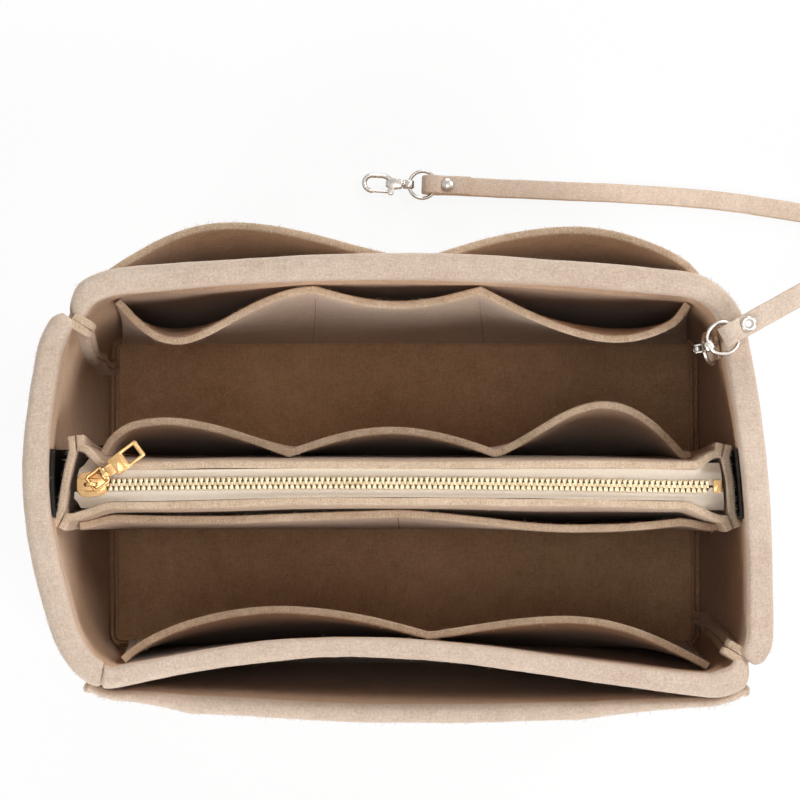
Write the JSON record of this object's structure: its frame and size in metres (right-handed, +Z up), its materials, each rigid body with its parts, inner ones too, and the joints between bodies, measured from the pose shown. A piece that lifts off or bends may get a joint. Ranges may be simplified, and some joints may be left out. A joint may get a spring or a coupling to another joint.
{
  "type": "purse organizer insert",
  "caption": "Open felt box insert with outer and inner pockets, a lift-out zip pouch that divides it, and a clip-on felt strap.",
  "frame": {"origin": "on the surface that the insert stands on, under the middle of the box and its sewn-on pockets, strap left out", "axes": "+X along the length to the right, +Y towards the back pockets, +Z up out of the open top"},
  "size_m": [0.3467, 0.2297, 0.172],
  "materials": {
    "felt": "pressed felt, soft and matte",
    "hook_and_loop": "black hook-and-loop tape",
    "zip_tape": "woven tape",
    "gold_metal": "polished plating",
    "nickel": "polished plating"
  },
  "bodies": {
    "box": {"base_panel": "felt", "back_right_wall": "felt", "left_front_wall": "felt", "front_pocket": "felt", "back_pocket": "felt", "inner_back_pocket": "felt", "inner_front_pocket": "felt", "right_wall_patch": "hook_and_loop", "left_wall_patch": "hook_and_loop", "ring_tab": "felt", "strap": "felt", "near_ring": "nickel", "near_rivet_cap": "nickel", "near_rivet_stud": "nickel", "near_swivel": "nickel", "near_hook": "nickel", "near_gate_pin": "nickel", "free_rivet_cap": "nickel", "free_rivet_stud": "nickel"},
    "hanging_ring": {"d_ring": "nickel"},
    "near_gate": {"near_gate": "nickel"},
    "pouch": {"pouch_front_panel": "felt", "pouch_back_panel": "felt", "pouch_left_end": "felt", "pouch_right_end": "felt", "pouch_base": "felt", "pouch_front_pocket": "felt", "pouch_back_pocket": "felt", "pouch_left_patch": "hook_and_loop", "pouch_right_patch": "hook_and_loop", "zip_bottom_stop": "gold_metal"},
    "zip_front": {"zip_tape_front": "zip_tape", "zip_teeth_front": "gold_metal", "zip_top_stop_front": "gold_metal"},
    "zip_back": {"zip_tape_back": "zip_tape", "zip_teeth_back": "gold_metal", "zip_top_stop_back": "gold_metal"},
    "slider": {"slider": "gold_metal"},
    "pull_link": {"pull_link": "gold_metal"},
    "pull_tab": {"pull_tab": "gold_metal"},
    "free_ring": {"free_ring": "nickel"},
    "free_swivel": {"free_swivel": "nickel"},
    "free_clasp": {"free_hook": "nickel", "free_gate_pin": "nickel"},
    "free_gate": {"free_gate": "nickel"}
  },
  "joints": [
    {"name": "pouch_lift", "type": "slide", "parent": "box", "child": "pouch", "axis": [0, 0, 1], "range_m": [0, 0.165]},
    {"name": "zip_slide", "type": "slide", "parent": "pouch", "child": "slider", "axis": [1, 0, 0], "range_m": [0, 0.218], "deforming": ["zip_tape_front", "zip_tape_back", "zip_teeth_front", "zip_teeth_back"]},
    {"name": "zip_front_open", "type": "hinge", "parent": "pouch", "child": "zip_front", "pos_m": [0.1204, -0.00648, 0.1426], "axis": [0, 0, 1], "range_deg": [0, 0.7], "deforming": ["zip_tape_front", "zip_teeth_front"]},
    {"name": "zip_back_open", "type": "hinge", "parent": "pouch", "child": "zip_back", "pos_m": [0.1204, -0.00648, 0.1426], "axis": [0, 0, -1], "range_deg": [0, 0.7], "deforming": ["zip_tape_back", "zip_teeth_back"]},
    {"name": "link_swing", "type": "hinge", "parent": "slider", "child": "pull_link", "pos_m": [-0.11662, -0.00648, 0.1472], "axis": [0.6018, -0.7986, 0], "range_deg": [0, 90]},
    {"name": "tab_swing", "type": "hinge", "parent": "pull_link", "child": "pull_tab", "pos_m": [-0.11135, -0.0025, 0.1472], "axis": [0.6018, -0.7986, 0], "range_deg": [0, 80]},
    {"name": "d_ring_swing", "type": "hinge", "parent": "box", "child": "hanging_ring", "pos_m": [0.12027, 0.04605, 0.13782], "axis": [-0.163, 0.9866, 0], "range_deg": [0, 10]},
    {"name": "near_gate_open", "type": "hinge", "parent": "box", "child": "near_gate", "pos_m": [0.11328, 0.0449, 0.15467], "axis": [0.163, -0.9866, 0], "range_deg": [0, 18], "stiffness_Nm_per_rad": 0.002},
    {"name": "free_ring_swing", "type": "hinge", "parent": "box", "child": "free_ring", "pos_m": [0.01583, 0.12649, 0.0043], "axis": [0.0401, 0.9992, 0], "range_deg": [0, 20]},
    {"name": "free_eye_swing", "type": "hinge", "parent": "free_ring", "child": "free_swivel", "pos_m": [0.00403, 0.12696, 0.0028], "axis": [0.0401, 0.9992, 0], "range_deg": [0, 60]},
    {"name": "free_swivel_turn", "type": "hinge", "parent": "free_swivel", "child": "free_clasp", "pos_m": [0.00403, 0.12696, 0.0028], "axis": [-0.9992, 0.0401, 0], "continuous": true},
    {"name": "free_gate_open", "type": "hinge", "parent": "free_clasp", "child": "free_gate", "pos_m": [-0.00401, 0.12358, 0.0028], "axis": [0, 0, -1], "range_deg": [0, 18], "stiffness_Nm_per_rad": 0.002}
  ],
  "couplings": [
    {"joint": "zip_front_open", "follows": "zip_slide", "rad_per_m": 0.056},
    {"joint": "zip_back_open", "follows": "zip_slide", "rad_per_m": 0.056}
  ]
}
